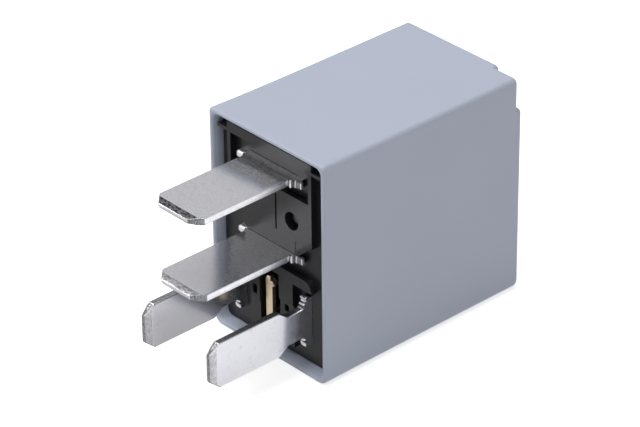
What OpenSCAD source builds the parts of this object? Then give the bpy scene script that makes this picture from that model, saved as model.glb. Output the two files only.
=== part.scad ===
// Sealed-look micro relay with four blade terminals, lying on its narrow side.
// X runs across the body, -Y is the terminal side, +Z is up. Millimetres.
// Depths along Y are counted from the rim of the cover, and placed() moves the
// finished model so that the origin is the middle of its footprint.

/* [Cover] */
// Width of the cover across X
cover_w = 15.9; // [15.5:0.1:16.5]
// Height of the cover along Z
cover_h = 23.7; // [23.4:0.1:24.5]
// Depth of the cover along Y, rim to closed end
cover_d = 25.6; // [25.4:0.1:26.5]
// Wall of the cover
wall_t = 0.8; // [0.7:0.05:0.9]
// Wall at the rim, before the lead-in narrows the mouth
rim_t = 0.45; // [0.4:0.05:0.6]
// Depth of the lead-in inside the rim
lead_in = 1.1; // [0.9:0.1:1.1]
// Radius of the four long outer edges
edge_r = 1.0; // [0.8:0.1:1.2]
// Radius round the closed end
end_r = 0.7; // [0.4:0.1:0.7]
// Width of the stepped corner at the closed end
notch_w = 3.3; // [2.5:0.1:3.6]
// Height of the stepped corner
notch_h = 2.9; // [2.5:0.1:3.2]
// Depth of the stepped corner
notch_d = 0.7; // [0.5:0.05:0.8]

/* [Base] */
// Depth of the base's low face below the rim
face_low = 1.1; // [1.0:0.05:1.2]
// Depth of the base's raised faces below the rim
face_high = 0.4; // [0.3:0.05:0.5]
// Depth of the base's back face below the rim
base_back = 4.0; // [3.8:0.05:4.0]
// Gap between the base and the cover walls
base_gap = 0.04; // [0.03:0.01:0.06]

/* [Terminals] */
// Thickness of the sheet of every blade
blade_t = 0.8; // [0.75:0.05:0.8]
// Width of the two load blades
tab_w = 6.3; // [6.2:0.05:6.35]
// Width of the two coil blades
pin_w = 4.8; // [4.7:0.05:4.85]
// Length of the load blades beyond the rim
tab_len = 11.15; // [10.8:0.05:11.3]
// Bevel along the long edges of every blade
blade_bevel = 0.12; // [0.08:0.01:0.15]
// Length of the coil blades beyond the rim
pin_len = 11.4; // [11.3:0.05:11.6]
// Height of the upper load blade's middle plane
tab_up_z = 20.1; // [20.0:0.05:20.2]
// Height of the middle load blade's middle plane
tab_mid_z = 12.0; // [11.95:0.05:12.05]
// Height of the coil blades' centre line
pin_z = 5.68; // [5.6:0.02:5.72]
// Distance of each coil blade's middle plane from the centre
pin_x = 4.62; // [4.6:0.01:4.65]
// Width of the coil blades' neck
neck_w = 3.24; // [3.2:0.02:3.3]

/* [Magnet] */
// Height of the coil axis
coil_z = 11.9; // [11.85:0.05:11.95]
// Radius of the core
core_r = 2.2; // [2.0:0.05:2.25]
// Radius of the pole head
pole_r = 3.6; // [3.2:0.1:3.8]
// Outer radius of the winding
winding_r = 5.1; // [4.6:0.1:5.3]
// Angle by which the armature stands open at rest
open_deg = 2.6; // [2.4:0.1:2.7]

/* [Hidden] */
$fn = 48;
hull_fn = 32;
cut = 0.5;                         // how far a cutting shape runs past a face

// Middle of the whole length, which the origin sits under
mid_y = (cover_d - max(tab_len, pin_len)) / 2;

// Inside of the cover and outline of the base
inner_w = cover_w - 2 * wall_t;
inner_h = cover_h - 2 * wall_t;
inner_r = 0.7;
inner_d = cover_d - wall_t;
snap_z = [6.2, 17.6];              // heights of the snap catches on the two wide walls
snap_l = 3.0;
snap_d = 0.3;
snap_y = [2.3, 3.3];

// Raised faces of the base, in X and Z
island_w = 11.6;                   // both raised faces
rib_z = 21.8;                      // underside of the full-width rib along the top
island_z = 13.95;                  // lower edge of the upper raised face
tongue_w = 7.2;                    // its middle part, which reaches down towards the blade
groove_x = [0.78, 0.98];           // upright groove beside the vent
groove_z = [14.1, 18.4];
pocket_w = 10.72;                  // pocket round the upper blade's root
pocket_z = 18.55;
arch_z = 10.13;                    // top of the lower raised face
arch_r = 1.1;
arch_low = 1.9;
root_z = 9.0;                      // top of the pockets round the coil blades' roots
leg_x = 3.05;                      // outer edge of the legs between those pockets
window_x = [-1.7, 1.1];            // slot between the legs
window_z = [1.9, 9.15];
vent_x = 3.05;
vent_z = 15.85;
vent_r = 0.93;

// Blades
slot_gap = 0.04;                   // clearance of a blade in its slot
tongue_z = tab_mid_z + blade_t / 2 + slot_gap;   // the tongue ends at the middle blade's slot
tip_in = 1.1;                      // corner cut at a tip, measured along the blade
tab_tip = 1.1;                     // the same cut measured across a load blade
pin_tip = 0.9;                     // and across a coil blade
coin_l = 0.7;                      // bevel that thins the tip, along the blade
coin_d = 0.18;                     // and its depth on each face
ear_out = 1.1;                     // how far the seating ears stand out sideways
ear_y = [0.05, 0.42];              // the ears' sloping front edge, from the rim
neck_y = [-3.05, -1.95];           // taper from full width to neck on a coil blade
tail_back = 6.9;                   // inner end of the coil blades

// Magnet system, depths from the rim
yoke_y = 6.2;                      // front face of the yoke's short leg
yoke_t = 1.5;
yoke_w = 10;
yoke_leg_w = 7.8;
yoke_low = 5.6;                    // lower end of the short leg
yoke_top = tab_up_z - blade_t / 2; // the upper terminal lies on this face
pole_y = 21.45;                    // pole face and end of the yoke's long leg
shank_r = 1.8;                     // core's shank through the yoke
pole_t = 1.25;
flange_t = 0.95;
flange_y = [yoke_y + yoke_t + 0.05, pole_y - pole_t - 0.05];
flange_w = 12;
flange_h = 11.7;
tube_r = 2.9;
fit_gap = 0.05;                    // clearance between bobbin, core and winding

// Armature, drawn closed and then turned open about the yoke's edge
armature_y = 21.5;
armature_t = 1.3;
armature_w = 9.4;
armature_z = [6.4, 20.0];
hinge_y = 21.5;
hinge_z = 19.4;

// Springs, contacts and rivets
spring_t = 0.2;
spring_w = 7.2;
spring_tongue_w = 3.4;
spring_y = armature_y + armature_t + spring_t / 2;
spring_end_z = 2.2;
contact_z = 3.6;
contact_r = 1.3;
contact_t = 0.5;
rivet_r = 0.6;
rivet_head_r = 1.0;
rivet_head_t = 0.35;
terminal_rivet = [1.3, 9.5];       // x either side, y
spring_rivet = [1.9, 15.6];        // x either side, y
armature_rivet = [1.9, 16.6];      // x either side, z

// Middle terminal's way round the coil: riser, bottom run and upright
riser_y = 5.3;
run_z = 1.7;
upright_y = 21.3;
upright_top = 5.4;
riser_w = 4.4;

// Spare contact strip that shows in the base's slot
strip_t = 0.45;
strip_front = 0.9;
strip_x = [-1.4, -0.4];
strip_z = [2.2, 3.8];
strip_tail_z = 7.95;
strip_back = 24.0;
strip_side = 6.95;

// Coil pins and wire ends
post = 0.6;
post_x = pin_x + blade_t / 2 + post / 2;
post_z = 6.9;
post_front = 5.0;
wire_r = 0.14;

// ---- Shared helpers --------------------------------------------------------

// Move the model from the rim's plane to the middle of its footprint
module placed() translate([0, -mid_y, 0]) children();

// Extrude an outline drawn in X and Z from depth a to depth b
module along_y(a, b) translate([0, b, 0]) rotate([90, 0, 0]) linear_extrude(b - a) children();

// Extrude an outline drawn in Y and Z across width w, centred on X
module along_x(w) rotate([90, 0, 90]) linear_extrude(w, center = true) children();

// Spin an outline, drawn as radius and depth, about a line along Y at height z
module about_y(x, z) translate([x, 0, z]) rotate([-90, 0, 0]) rotate_extrude() children();

// Rectangle between two corners
module rect(a, b) translate(a) square(b - a);

// Box between two corners
module box(a, b) translate(a) cube(b - a);

// Rectangle with rounded corners, centred on X and standing on z
module rounded_rect(w, h, r, z) {
    translate([-w / 2, z + r]) square([w, h - 2 * r]);
    translate([-w / 2 + r, z]) square([w - 2 * r, h]);
    for (sx = [-1, 1], zz = [z + r, z + h - r])
        translate([sx * (w / 2 - r), zz]) circle(r);
}

function unit(v) = v / norm(v);

// Arc that rounds the corner p1 of a path to radius r, as n + 1 points
function bend(p0, p1, p2, r, n) =
    let (a = unit(p0 - p1), b = unit(p2 - p1), half = acos(a * b) / 2,
         c = p1 + unit(a + b) * r / sin(half),
         s = p1 + a * r / tan(half) - c, e = p1 + b * r / tan(half) - c,
         from = atan2(s.y, s.x), raw = atan2(e.y, e.x) - from,
         turn = raw > 180 ? raw - 360 : raw < -180 ? raw + 360 : raw)
    [for (i = [0:n]) c + r * [cos(from + turn * i / n), sin(from + turn * i / n)]];

// Path with every inner corner rounded
function bent(p, r, n = 6) =
    [p[0], each [for (i = [1:len(p) - 2]) each bend(p[i - 1], p[i], p[i + 1], r, n)], p[len(p) - 1]];

// Path moved sideways by o, with mitred corners
function beside(p, o) =
    [for (i = [0:len(p) - 1])
        let (last = len(p) - 1,
             d1 = unit(p[max(i, 1)] - p[max(i, 1) - 1]),
             d2 = unit(p[min(i, last - 1) + 1] - p[min(i, last - 1)]),
             m = [-d1.y - d2.y, d1.x + d2.x])
        p[i] + m * 2 * o / (m * m)];

function reversed(p) = [for (i = [len(p) - 1:-1:0]) p[i]];

// Edge view of a sheet of thickness t folded along a path with bend radius r
module folded(p, t, r) {
    line = bent(p, r);
    polygon(concat(beside(line, t / 2), reversed(beside(line, -t / 2))));
}

// Point turned from the closed to the open position of the armature
function opened(p) =
    let (d = p - [hinge_y, hinge_z])
    [hinge_y, hinge_z] + [d.x * cos(open_deg) - d.y * sin(open_deg), d.x * sin(open_deg) + d.y * cos(open_deg)];

// Parts that move with the armature, turned open about the hinge line
module open_position()
    translate([0, hinge_y, hinge_z]) rotate([open_deg, 0, 0]) translate([0, -hinge_y, -hinge_z]) children();

// Rivet along Y: a shank between two depths with a head past the second one
module rivet_y(x, z, a, b, r = rivet_r, head_r = rivet_head_r, head_t = rivet_head_t)
    about_y(x, z) {
        rect([0, a], [r, b]);
        rect([0, b], [head_r, b + head_t / 2]);
        rect([0, b], [head_r - head_t / 2, b + head_t]);
    }

// Rivet along Z with its head on top
module rivet_z(x, y, a, b)
    translate([x, y, 0]) rotate_extrude() {
        rect([0, a], [rivet_r, b]);
        rect([0, b], [rivet_head_r, b + rivet_head_t / 2]);
        rect([0, b], [rivet_head_r - rivet_head_t / 2, b + rivet_head_t]);
    }

// ---- Cover -----------------------------------------------------------------

// Outer body with round long edges and a round closed end
module cover_body() {
    steps = 4;
    hull()
        for (sx = [-1, 1], z = [edge_r, cover_h - edge_r])
            translate([sx * (cover_w / 2 - edge_r), 0, z]) rotate([-90, 0, 0]) {
                cylinder(r = edge_r, h = cover_d - end_r, $fn = hull_fn);
                for (i = [1:steps])
                    let (a = 90 * i / steps)
                    cylinder(r = edge_r - end_r * (1 - cos(a)),
                             h = cover_d - end_r * (1 - sin(a)), $fn = hull_fn);
            }
}

// Blind pockets in the wide walls that the base's catches snap into
module snap_catches(grow)
    for (sx = [-1, 1], z = snap_z)
        along_x_side(sx) translate([snap_y[0] - grow, z - snap_l / 2 - grow])
            square([snap_y[1] - snap_y[0] + 2 * grow, snap_l + 2 * grow]);

// Extrude an outline in Y and Z from just inside the wide wall into it
module along_x_side(sx)
    translate([sx * (inner_w / 2 - base_gap + snap_d / 2), 0, 0]) along_x(snap_d + 2 * base_gap) children();

// Lead-in that widens the mouth evenly from the full wall to the thinner rim
module mouth() {
    past = 0.1;                    // the taper is carried on beyond the rim
    out = (wall_t - rim_t) * (lead_in + past) / lead_in;
    hull() {
        along_y(-past, -past / 2) rounded_rect(inner_w + 2 * out, inner_h + 2 * out, inner_r, wall_t - out);
        along_y(lead_in, lead_in + past) rounded_rect(inner_w, inner_h, inner_r, wall_t);
    }
}

module cover() color("#b4bbc8") placed() difference() {
    cover_body();
    mouth();
    difference() {
        along_y(-cut, inner_d) rounded_rect(inner_w, inner_h, inner_r, wall_t);
        // The stepped corner keeps its wall inside
        box([cover_w / 2 - notch_w - wall_t, inner_d - notch_d, cover_h - notch_h - wall_t],
            [cover_w / 2, cover_d, cover_h]);
    }
    box([cover_w / 2 - notch_w, cover_d - notch_d, cover_h - notch_h],
        [cover_w / 2 + cut, cover_d + cut, cover_h + cut]);
    snap_catches(0.05);
}

// ---- Base ------------------------------------------------------------------

// Upper raised face: rib along the top, field with the vent, tongue down to the blade
module upper_island() difference() {
    union() {
        rect([-inner_w / 2 + base_gap, rib_z], [inner_w / 2 - base_gap, cover_h - wall_t - base_gap - inner_r]);
        rect([-island_w / 2, island_z], [island_w / 2, cover_h - wall_t - base_gap]);
        rect([-tongue_w / 2, tongue_z], [tongue_w / 2, island_z + cut]);
    }
    rect([-pocket_w / 2, pocket_z], [pocket_w / 2, rib_z]);
}

// Lower raised face: a bar over the coil blades' roots with two legs
module lower_island() difference() {
    union() {
        translate([-island_w / 2 + 0.15, root_z - arch_r]) square([island_w - 0.3, arch_z - root_z]);
        translate([-island_w / 2 + 0.15 + arch_r, root_z]) square([island_w - 0.3 - 2 * arch_r, arch_z - root_z]);
        for (sx = [-1, 1]) translate([sx * (island_w / 2 - 0.15 - arch_r), arch_z - arch_r]) circle(arch_r);
        rect([-leg_x, arch_low], [leg_x, root_z + cut]);
    }
    for (sx = [-1, 1]) translate([sx * (leg_x + 2), root_z - 2.5]) square([4, 5], center = true);
    rect([window_x[0], window_z[0] - cut], [window_x[1], window_z[1]]);
}

// Shallow relief on the raised faces: a groove beside the vent, ledges and sockets on the legs
module face_relief() {
    along_y(face_high - cut, face_high + 0.3)
        rect([groove_x[0], groove_z[0]], [groove_x[1], groove_z[1]]);
    along_y(face_high - cut, face_high + 0.15) {
        rect([window_x[1] - cut, arch_low - cut], [leg_x + cut, 6.55]);
        rect([-leg_x - cut, arch_low - cut], [window_x[0] + cut, 4.9]);
    }
    along_y(face_high, face_high + 0.6) {
        translate([2.05, 5.85]) square([0.6, 0.7], center = true);
        translate([-2.3, 6.1]) square([0.55, 1.0], center = true);
    }
}

// Vent: a round well with a short stub left standing on its floor
module vent_well() about_y(vent_x, vent_z) {
    rect([0, face_high - cut], [vent_r, face_high + 0.5]);
    rect([0.42, face_high], [vent_r, face_high + 0.9]);
}

module base() color("#232327") placed() {
    difference() {
        union() {
            along_y(face_low, base_back)
                rounded_rect(inner_w - 2 * base_gap, inner_h - 2 * base_gap, inner_r - base_gap, wall_t + base_gap);
            along_y(face_high, face_low) upper_island();
            along_y(face_high, face_low) lower_island();
            snap_catches(0);
        }
        face_relief();
        vent_well();
        // Slots for the four blades and the open slot between the legs
        for (z = [tab_up_z, tab_mid_z])
            box([-tab_w / 2 - slot_gap, -cut, z - blade_t / 2 - slot_gap],
                [tab_w / 2 + slot_gap, base_back + cut, z + blade_t / 2 + slot_gap]);
        for (sx = [-1, 1])
            translate([sx * pin_x, 0, pin_z]) along_y(-cut, base_back + cut)
                square([blade_t + 2 * slot_gap, neck_w + 2 * slot_gap], center = true);
        along_y(-cut, base_back + cut) rect([window_x[0], window_z[0]], [window_x[1], window_z[1]]);
    }
}

// ---- Terminals -------------------------------------------------------------

// Wedge that thins a tip on the face at +z or -z
module coin_cut(w, l, s) along_x(w + 2 * cut)
    polygon([[-l - cut, s * (blade_t / 2 - coin_d - coin_d * cut / coin_l)], [-l + coin_l, s * blade_t / 2],
             [-l + coin_l, s * (blade_t / 2 + cut)], [-l - cut, s * (blade_t / 2 + cut)]]);

// Flat outline of a load blade with its seating ears, from the tip to depth back
function tab_outline(back) =
    [for (s = [1, -1]) each
        let (half = [[tab_w / 2 - tab_tip, -tab_len], [tab_w / 2, -tab_len + tip_in], [tab_w / 2, ear_y[0]],
                     [tab_w / 2 + ear_out, ear_y[1]], [tab_w / 2 + ear_out, face_low], [tab_w / 2, face_low],
                     [tab_w / 2, back]])
        [for (p = s > 0 ? half : reversed(half)) [s * p.x, p.y]]];

// Flat outline of a coil blade: full width, neck, seating ears and tail
function pin_outline() =
    [for (s = [1, -1]) each
        let (half = [[pin_w / 2 - pin_tip, -pin_len], [pin_w / 2, -pin_len + tip_in], [pin_w / 2, neck_y[0]],
                     [neck_w / 2, neck_y[1]], [neck_w / 2, ear_y[0]], [neck_w / 2 + ear_out, ear_y[1]],
                     [neck_w / 2 + ear_out, face_low], [neck_w / 2, face_low], [neck_w / 2, tail_back]])
        [for (p = s > 0 ? half : reversed(half)) [s * p.x, p.y]]];

// Bevels along the four long edges, from the tip to the rim
module edge_cuts(w, l) along_y(-l - cut, 0)
    for (sx = [-1, 1], sz = [-1, 1])
        translate([sx * w / 2, sz * blade_t / 2]) rotate(45) square(blade_bevel * sqrt(2), center = true);

// Blade lying flat, its sheet centred on z = 0, with a thinned tip and bevelled edges
module blade(outline, w, l) difference() {
    translate([0, 0, -blade_t / 2]) linear_extrude(blade_t) polygon(outline);
    for (s = [-1, 1]) coin_cut(w, l, s);
    edge_cuts(w, l);
}

module terminal_30() color("#c9cacd") placed() difference() {
    union() {
        translate([0, 0, tab_up_z]) blade(tab_outline(base_back), tab_w, tab_len);
        box([-2.5, base_back - 0.1, yoke_top], [2.5, terminal_rivet[1] + 2.2, yoke_top + blade_t]);
    }
    for (sx = [-1, 1]) translate([sx * terminal_rivet[0], terminal_rivet[1], yoke_top - cut])
        cylinder(r = rivet_r, h = blade_t + 2 * cut);
}

module terminal_87() color("#c9cacd") placed() difference() {
    union() {
        translate([0, 0, tab_mid_z]) blade(tab_outline(base_back), tab_w, tab_len);
        along_x(riser_w)
            folded([[base_back - 0.1, tab_mid_z], [riser_y, tab_mid_z], [riser_y, run_z],
                    [upright_y, run_z], [upright_y, upright_top]], blade_t, 0.7);
    }
    about_y(0, contact_z) rect([0, upright_y - blade_t], [rivet_r, upright_y + blade_t]);
}

module coil_terminal(sx) color("#c9cacd") placed()
    translate([sx * pin_x, 0, pin_z]) rotate([0, 90, 0]) blade(pin_outline(), pin_w, pin_len);

module terminal_85() coil_terminal(1);

module terminal_86() coil_terminal(-1);

// Spare contact strip: a sheared tail in the base's slot, a run along the side wall
// and an end that stops the moving contact from behind
module rest_strip() color("#c2a04a") placed() {
    back = strip_back + strip_t / 2;
    web_x = strip_x[0] + strip_t / 2;
    cross_y = base_back + 0.1 + strip_t / 2;
    side_x = -strip_side + strip_t / 2;
    translate([0, 0, strip_z[0]]) linear_extrude(strip_z[1] - strip_z[0])
        folded([[strip_x[1], strip_front + strip_t / 2], [web_x, strip_front + strip_t / 2], [web_x, cross_y],
                [side_x, cross_y], [side_x, back], [1.6, back]], strip_t, 0.3);
    along_y(strip_front, strip_front + strip_t)
        polygon([[strip_x[0] + 0.1, strip_z[0]], [strip_x[1], strip_z[0]], [strip_x[1], strip_tail_z - 1.05],
                 [strip_x[1] + 0.35, strip_tail_z - 0.75], [strip_x[1] - 0.1, strip_tail_z - 0.4],
                 [strip_x[1] - 0.45, strip_tail_z], [strip_x[0] + 0.1, strip_tail_z - 0.3]]);
    box([-1.6, strip_back, strip_z[0]], [1.6, strip_back + strip_t, strip_z[0] + 2.8]);
}

// ---- Magnet system ---------------------------------------------------------

// Bent iron yoke: long leg under the upper wall, short leg behind the base
module yoke() color("#8f9296") placed() difference() {
    union() {
        along_x(yoke_w) difference() {
            rect([yoke_y, yoke_top - yoke_t], [pole_y, yoke_top]);
            rect([yoke_y - cut, yoke_top - yoke_t], [yoke_y + yoke_t, yoke_top + cut]);
        }
        along_x(yoke_leg_w) {
            rect([yoke_y, yoke_low], [yoke_y + yoke_t, yoke_top - yoke_t]);
            intersection() {
                translate([yoke_y + yoke_t, yoke_top - yoke_t]) circle(yoke_t);
                rect([yoke_y, yoke_top - yoke_t], [yoke_y + yoke_t, yoke_top]);
            }
        }
    }
    about_y(0, coil_z) rect([0, yoke_y - cut], [shank_r, yoke_y + yoke_t + cut]);
    for (sx = [-1, 1], p = [terminal_rivet, spring_rivet])
        translate([sx * p[0], p[1], yoke_top - yoke_t - cut]) cylinder(r = rivet_r, h = yoke_t + 2 * cut);
}

// Core with its staked shank and its pole head
module core() color("#a5a8ac") placed() about_y(0, coil_z) {
    rect([0, yoke_y - 0.35], [shank_r + 0.35, yoke_y]);
    rect([0, yoke_y], [shank_r, yoke_y + yoke_t]);
    rect([0, yoke_y + yoke_t], [core_r, pole_y - pole_t]);
    rect([0, pole_y - pole_t], [pole_r, pole_y]);
}

// Bobbin: tube, two flanges and two posts that stand on the base
module bobbin() color("#ded8c8") placed() difference() {
    union() {
        about_y(0, coil_z) rect([core_r + fit_gap, flange_y[0]], [tube_r, flange_y[1]]);
        for (y = [flange_y[0], flange_y[1] - flange_t])
            along_y(y, y + flange_t) difference() {
                rounded_rect(flange_w, flange_h, 0.8, coil_z - flange_h / 2);
                translate([0, coil_z]) circle(core_r + fit_gap);
            }
        for (sx = [-1, 1])
            along_y(base_back, flange_y[0] + cut)
                translate([sx * (flange_w / 2 - 0.45), coil_z]) square([0.9, 5], center = true);
    }
    for (sx = [-1, 1]) {
        along_y(flange_y[0] - cut, flange_y[0] + flange_t + cut)
            translate([sx * post_x, post_z]) square(post, center = true);
        along_y(flange_y[0] - cut, flange_y[0] + flange_t + cut)
            translate([sx * flange_w / 2, 8.0]) square([0.8, 0.5], center = true);
    }
}

// One straight stretch of wire with round ends
module wire(a, b) {
    d = b - a;
    translate(a) rotate([0, acos(d.z / norm(d)), atan2(d.y, d.x)]) cylinder(r = wire_r, h = norm(d), $fn = 16);
    translate(b) sphere(wire_r, $fn = 16);
}

// Winding with its two ends led round the flange to the coil pins
module winding() color("#b4592c") placed() {
    inner_y = flange_y[0] + flange_t + fit_gap;
    about_y(0, coil_z) rect([tube_r + fit_gap, inner_y], [winding_r, flange_y[1] - flange_t - fit_gap]);
    for (sx = [-1, 1]) {
        lead = [[sx * 3.4, inner_y + 0.25, coil_z - 3.4], [sx * 5.78, inner_y + 0.25, 8.0],
                [sx * 5.78, flange_y[0] - 0.3, 8.0], [sx * (post_x + 0.28), flange_y[0] - 0.3, post_z + 0.5]];
        for (i = [1:3]) wire(lead[i - 1], lead[i]);
        // A few turns round the post, drawn as one sleeve
        about_y(sx * post_x, post_z) rect([post * 0.72, flange_y[0] - 0.6], [post * 0.72 + 2 * wire_r, flange_y[0] - 0.06]);
    }
}

// Two square posts pressed into the front flange, welded to the coil blades' tails
module coil_pins() color("#c9cacd") placed()
    for (sx = [-1, 1])
        along_y(post_front, flange_y[0] + flange_t)
            translate([sx * post_x, post_z]) square(post, center = true);

// Armature plate, narrowed towards its free end
module armature() color("#9a9da1") placed() open_position() difference() {
    w = armature_w / 2;
    along_y(armature_y, armature_y + armature_t)
        polygon([[-w, armature_z[1]], [-w, 8.6], [-w + 1.6, armature_z[0]], [w - 1.6, armature_z[0]], [w, 8.6],
                 [w, armature_z[1]]]);
    for (sx = [-1, 1])
        about_y(sx * armature_rivet[0], armature_rivet[1])
            rect([0, armature_y - cut], [rivet_r, armature_y + armature_t + cut]);
}

// Leaf spring: riveted to the yoke, looped over the hinge, down the armature to the contact
module contact_spring() color("#b98a4e") placed() {
    loop_z = yoke_top + 1.7;
    path = [[13.0, yoke_top + spring_t / 2], [20.3, yoke_top + spring_t / 2], [21.2, loop_z],
            [spring_y + 0.05, loop_z], opened([spring_y, 19.6]), opened([spring_y, spring_end_z])];
    difference() {
        along_x(spring_w) folded(path, spring_t, 0.45);
        for (sx = [-1, 1]) {
            translate([sx * (spring_w + spring_tongue_w) / 2, spring_y + 0.5, armature_z[0] / 2])
                cube([spring_w, 4, armature_z[0]], center = true);
            translate([sx * spring_rivet[0], spring_rivet[1], yoke_top - cut])
                cylinder(r = rivet_r, h = spring_t + 2 * cut);
            open_position() about_y(sx * armature_rivet[0], armature_rivet[1])
                rect([0, armature_y], [rivet_r, spring_y + cut]);
        }
        open_position() about_y(0, contact_z) rect([0, spring_y - cut], [rivet_r, spring_y + cut]);
    }
}

// Silver contact on the spring's free end, headed over behind it
module moving_contact() color("#d8d6d0") placed() open_position() about_y(0, contact_z) {
    rect([0, spring_y - spring_t / 2 - contact_t], [contact_r, spring_y - spring_t / 2]);
    rect([0, spring_y - spring_t / 2], [rivet_r, spring_y + spring_t / 2]);
    rect([0, spring_y + spring_t / 2], [rivet_head_r, spring_y + spring_t / 2 + 0.22]);
}

// Silver contact on the middle terminal's upright
module fixed_contact() color("#d8d6d0") placed() about_y(0, contact_z) {
    rect([0, upright_y - blade_t / 2], [rivet_r, upright_y + blade_t / 2]);
    rect([0, upright_y + blade_t / 2], [contact_r, armature_y + armature_t - contact_t - fit_gap]);
}

// Rivets that hold the upper terminal down on the yoke
module terminal_rivets() color("#b9bbbe") placed()
    for (sx = [-1, 1]) rivet_z(sx * terminal_rivet[0], terminal_rivet[1], yoke_top - yoke_t, yoke_top + blade_t);

// Rivets that hold the spring down on the yoke
module spring_rivets() color("#b9bbbe") placed()
    for (sx = [-1, 1]) rivet_z(sx * spring_rivet[0], spring_rivet[1], yoke_top - yoke_t, yoke_top + spring_t);

// Rivets that hold the spring on the armature
module armature_rivets() color("#b9bbbe") placed() open_position()
    for (sx = [-1, 1])
        rivet_y(sx * armature_rivet[0], armature_rivet[1], armature_y, spring_y + spring_t / 2);

cover();
base();
terminal_30();
terminal_87();
terminal_85();
terminal_86();
rest_strip();
yoke();
core();
bobbin();
winding();
coil_pins();
armature();
contact_spring();
moving_contact();
fixed_contact();
terminal_rivets();
spring_rivets();
armature_rivets();
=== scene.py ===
"""Looks of a plug-in micro relay with four blade terminals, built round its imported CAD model."""

import bmesh
import bpy
import numpy as np
from mathutils import Matrix, Vector


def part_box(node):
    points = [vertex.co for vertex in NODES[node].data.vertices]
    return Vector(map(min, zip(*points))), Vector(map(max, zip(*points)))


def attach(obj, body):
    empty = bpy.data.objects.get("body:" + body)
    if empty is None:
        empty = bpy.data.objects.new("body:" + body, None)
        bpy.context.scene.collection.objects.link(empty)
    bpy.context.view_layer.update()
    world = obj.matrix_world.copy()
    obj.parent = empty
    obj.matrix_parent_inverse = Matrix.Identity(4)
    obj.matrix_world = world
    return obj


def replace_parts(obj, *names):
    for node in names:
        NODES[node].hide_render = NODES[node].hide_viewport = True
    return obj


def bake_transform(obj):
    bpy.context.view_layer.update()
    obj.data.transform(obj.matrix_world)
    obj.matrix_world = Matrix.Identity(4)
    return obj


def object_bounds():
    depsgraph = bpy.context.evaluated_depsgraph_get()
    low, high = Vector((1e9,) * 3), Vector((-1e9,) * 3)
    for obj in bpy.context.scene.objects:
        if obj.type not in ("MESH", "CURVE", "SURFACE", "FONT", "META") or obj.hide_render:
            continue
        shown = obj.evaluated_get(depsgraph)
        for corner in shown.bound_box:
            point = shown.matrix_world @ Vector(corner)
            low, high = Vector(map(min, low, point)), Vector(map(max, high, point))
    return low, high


MM = 0.001
X, Y, Z = np.eye(3)

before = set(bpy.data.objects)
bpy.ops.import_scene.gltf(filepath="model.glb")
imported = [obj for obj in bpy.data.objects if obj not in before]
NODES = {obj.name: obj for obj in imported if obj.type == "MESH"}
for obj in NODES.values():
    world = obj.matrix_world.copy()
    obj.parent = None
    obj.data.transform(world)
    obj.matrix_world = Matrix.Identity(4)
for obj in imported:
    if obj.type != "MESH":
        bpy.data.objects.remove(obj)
cad_low, cad_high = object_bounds()


def low_high(node):
    """Lowest and highest corner of a CAD node as numpy arrays, in metres."""
    lo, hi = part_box(node)
    return np.array(lo), np.array(hi)


COVER_LO, COVER_HI = low_high("cover")
BASE_HI = low_high("base")[1]
RIM_Y = COVER_LO[1]                      # plane of the cover's open rim
CENTRE = (np.array(cad_low) + np.array(cad_high)) / 2

BLADE_T = 0.8 * MM                       # sheet of every blade
COIN_L, COIN_D = 0.7 * MM, 0.18 * MM     # length and depth of the bevel that thins a tip
CUT_L = 1.1 * MM                         # length of the corners cut off a tip
EAR_OUT = 1.1 * MM                       # how far a seating ear stands out
EAR_Y = (0.05 * MM, 0.42 * MM, 1.1 * MM)  # front, shoulder and back of an ear, from the rim
BEVEL = 0.12 * MM                        # bevel along a blade's long edges
LOAD_W, COIL_W, NECK_W = 6.3 * MM, 4.8 * MM, 3.24 * MM
LOAD_CUT, COIL_CUT = 1.1 * MM, 0.9 * MM  # how far the tip's cut corners reach in from a side
CUT_RUN_OUT = 0.08 * MM                  # line where a cut corner ends, dark partly as burr and partly as painted shade
UPPER_Z = low_high("terminal_30")[1][2] - BLADE_T / 2  # mid-planes of the two load blades
MIDDLE_Z = 12.0 * MM
WELD = 0.002 * MM                        # points closer than this are one
SHARP = 32                               # degrees past which an edge is rounded


# ---- Materials --------------------------------------------------------------

def linear(hex_colour):
    """sRGB hex colour as linear red, green, blue and alpha."""
    c = np.array(tuple(bytes.fromhex(hex_colour[1:]))) / 255
    return (*np.where(c <= 0.04045, c / 12.92, ((c + 0.055) / 1.055) ** 2.4), 1.0)


def add(tree, kind, settings=None, **links):
    """Adds a node, sets its attributes and sockets, and links sockets that are given as outputs.
    A link named in0, in1 and so on goes to the socket with that number."""
    node = tree.nodes.new(kind)
    for key, value in (settings or {}).items():
        setattr(node, key, value)
    for key, value in links.items():
        name = key.replace("_", " ")
        by_number = key.startswith("in") and key[2:].isdigit()
        socket = node.inputs[int(key[2:]) if by_number else name]
        if isinstance(value, bpy.types.NodeSocket):
            tree.links.new(value, socket)
        else:
            socket.default_value = value
    return node


def empty_tree(owner):
    """A material's or world's node tree, cleared."""
    owner.use_nodes = True
    owner.node_tree.nodes.clear()
    return owner.node_tree


def new_material(name):
    """Empty material with its tree, its shader and its output."""
    m = bpy.data.materials.new(name)
    empty_tree(m)
    shader = add(m.node_tree, "ShaderNodeBsdfPrincipled")
    add(m.node_tree, "ShaderNodeOutputMaterial", Surface=shader.outputs[0])
    return m, m.node_tree, shader


def blend_colour(tree, factor, a, b):
    """Colour that runs from a to b with a factor socket."""
    return add(tree, "ShaderNodeMix", {"data_type": "RGBA"}, in0=factor, in6=a, in7=b).outputs[2]


def blend_value(tree, factor, a, b):
    """Value that runs from a to b with a factor socket."""
    return add(tree, "ShaderNodeMix", None, in0=factor, in2=a, in3=b).outputs[0]


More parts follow.
